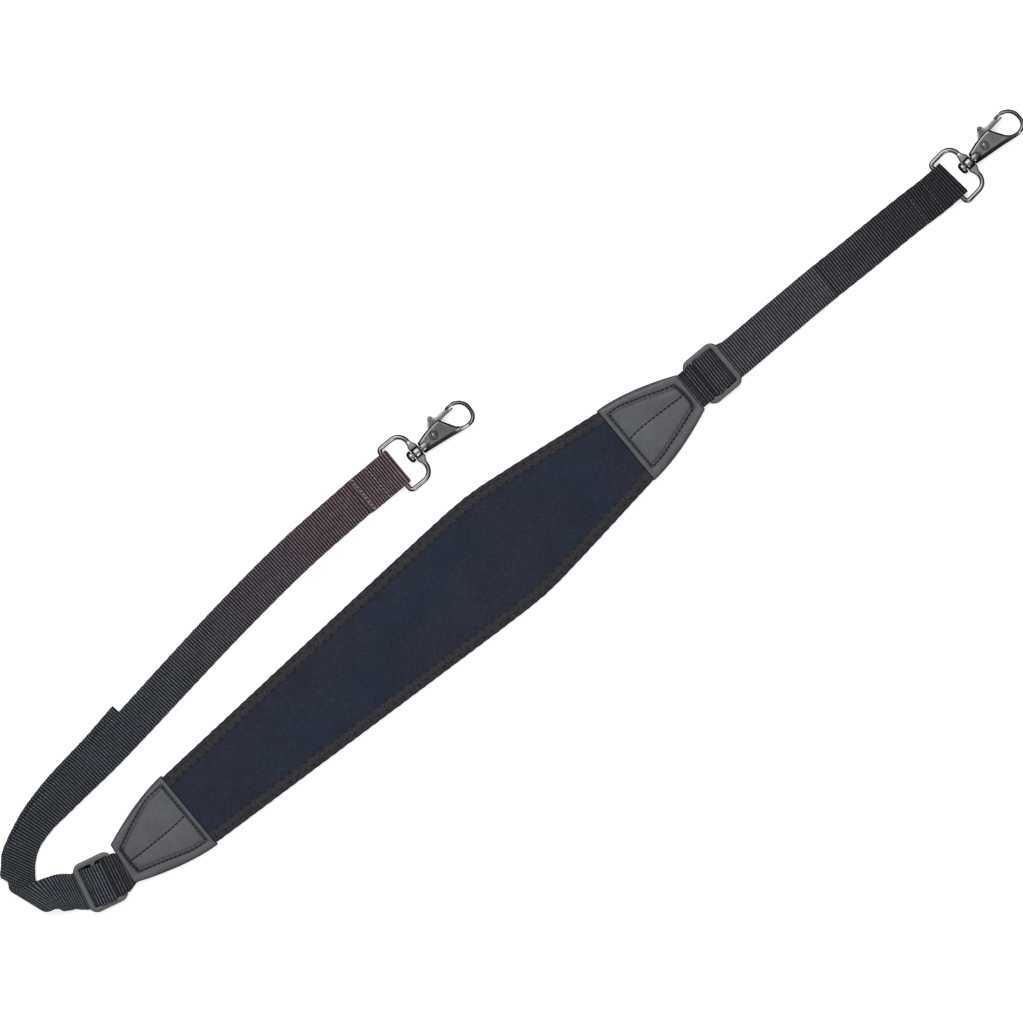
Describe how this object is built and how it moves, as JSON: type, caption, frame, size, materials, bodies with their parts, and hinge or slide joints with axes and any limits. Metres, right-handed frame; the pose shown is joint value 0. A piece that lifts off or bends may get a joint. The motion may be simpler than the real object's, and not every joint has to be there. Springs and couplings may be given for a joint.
{
  "type": "instrument neck strap",
  "caption": "Padded neck strap with leather tabs, plastic three-bar adjusters, ribbed webbing arms and swivel trigger snap hooks for hanging a wind instrument.",
  "frame": {"origin": "middle of the pad's back face, which lies on the wearer's neck", "axes": "+X along the pad from the left tab to the right tab and on along the stretched-out arm, +Z out of the pad's front face, away from the neck"},
  "size_m": [0.7948, 0.1375, 0.0214],
  "materials": {
    "foam": "closed-cell neoprene foam",
    "knit": "matt knitted skin",
    "binding": "matt woven edge tape",
    "leather": "smooth grey leather with black stitching",
    "webbing": "ribbed nylon webbing",
    "plastic": "moulded, satin",
    "hook_metal": "gunmetal plating, polished",
    "spring_steel": "drawn wire"
  },
  "bodies": {
    "pad": {"pad_core": "foam", "pad_face": "knit", "pad_backing": "knit", "upper_binding": "binding", "lower_binding": "binding", "left_tab_front": "leather", "left_tab_back": "leather", "left_tab_loop": "webbing", "right_tab_front": "leather", "right_tab_back": "leather", "right_tab_loop": "webbing"},
    "left_slider": {"left_slider": "plastic", "left_bar_wrap": "webbing", "left_run": "webbing"},
    "left_tail": {"left_tail": "webbing"},
    "left_arm": {"left_hook_fold": "webbing"},
    "left_eye": {"left_eye": "hook_metal"},
    "left_claw": {"left_claw": "hook_metal", "left_swivel_pin": "hook_metal", "left_lever_rivet": "hook_metal", "left_lever_spring": "spring_steel"},
    "left_lever": {"left_lever": "hook_metal"},
    "right_slider": {"right_slider": "plastic", "right_bar_wrap": "webbing", "right_run": "webbing"},
    "right_tail": {"right_tail": "webbing"},
    "right_arm": {"right_hook_fold": "webbing"},
    "right_eye": {"right_eye": "hook_metal"},
    "right_claw": {"right_claw": "hook_metal", "right_swivel_pin": "hook_metal", "right_lever_rivet": "hook_metal", "right_lever_spring": "spring_steel"},
    "right_lever": {"right_lever": "hook_metal"}
  },
  "joints": [
    {"name": "left_slider_tilt", "type": "hinge", "parent": "pad", "child": "left_slider", "pos_m": [-0.238, -0.0026, 0.0034], "axis": [0.2419, 0.9703, 0], "range_deg": [-50, 50]},
    {"name": "left_adjust", "type": "slide", "parent": "left_slider", "child": "left_arm", "axis": [1, 0, 0], "range_m": [-0.04, 0.04], "deforming": ["left_run"]},
    {"name": "left_tail_slide", "type": "slide", "parent": "left_slider", "child": "left_tail", "axis": [0.9944, 0.1054, 0], "range_m": [-0.04, 0.04], "deforming": ["left_tail"]},
    {"name": "left_eye_swing", "type": "hinge", "parent": "left_arm", "child": "left_eye", "pos_m": [0.0565, 0.0807, 0.004], "axis": [0, -1, 0], "range_deg": [-80, 80]},
    {"name": "left_claw_swivel", "type": "hinge", "parent": "left_eye", "child": "left_claw", "pos_m": [0.0774, 0.0807, 0.004], "axis": [1, 0, 0], "continuous": true},
    {"name": "left_lever_open", "type": "hinge", "parent": "left_claw", "child": "left_lever", "pos_m": [0.0892, 0.0821, 0.004], "axis": [0, 0, -1], "range_deg": [0, 28], "stiffness_Nm_per_rad": 0.03, "springref_deg": -45.84, "deforming": ["left_lever_spring"]},
    {"name": "right_slider_tilt", "type": "hinge", "parent": "pad", "child": "right_slider", "pos_m": [0.2362, 0.0009, 0.0034], "axis": [0, -1, 0], "range_deg": [-50, 50]},
    {"name": "right_adjust", "type": "slide", "parent": "right_slider", "child": "right_arm", "axis": [1, 0, 0], "range_m": [-0.03, 0.045], "deforming": ["right_run"]},
    {"name": "right_tail_slide", "type": "slide", "parent": "right_slider", "child": "right_tail", "axis": [1, 0, 0], "range_m": [-0.045, 0.03], "deforming": ["right_tail"]},
    {"name": "right_eye_swing", "type": "hinge", "parent": "right_arm", "child": "right_eye", "pos_m": [0.437, -0.0021, 0.004], "axis": [0.1045, -0.9945, 0], "range_deg": [-80, 80]},
    {"name": "right_claw_swivel", "type": "hinge", "parent": "right_eye", "child": "right_claw", "pos_m": [0.4578, -0.00006, 0.004], "axis": [0.9986, 0.0523, 0], "continuous": true},
    {"name": "right_lever_open", "type": "hinge", "parent": "right_claw", "child": "right_lever", "pos_m": [0.46951, 0.00195, 0.004], "axis": [0, 0, -1], "range_deg": [0, 28], "stiffness_Nm_per_rad": 0.03, "springref_deg": -45.84, "deforming": ["right_lever_spring"]}
  ],
  "couplings": [
    {"joint": "left_tail_slide", "follows": "left_adjust", "ratio": -1},
    {"joint": "right_tail_slide", "follows": "right_adjust", "ratio": -1}
  ]
}
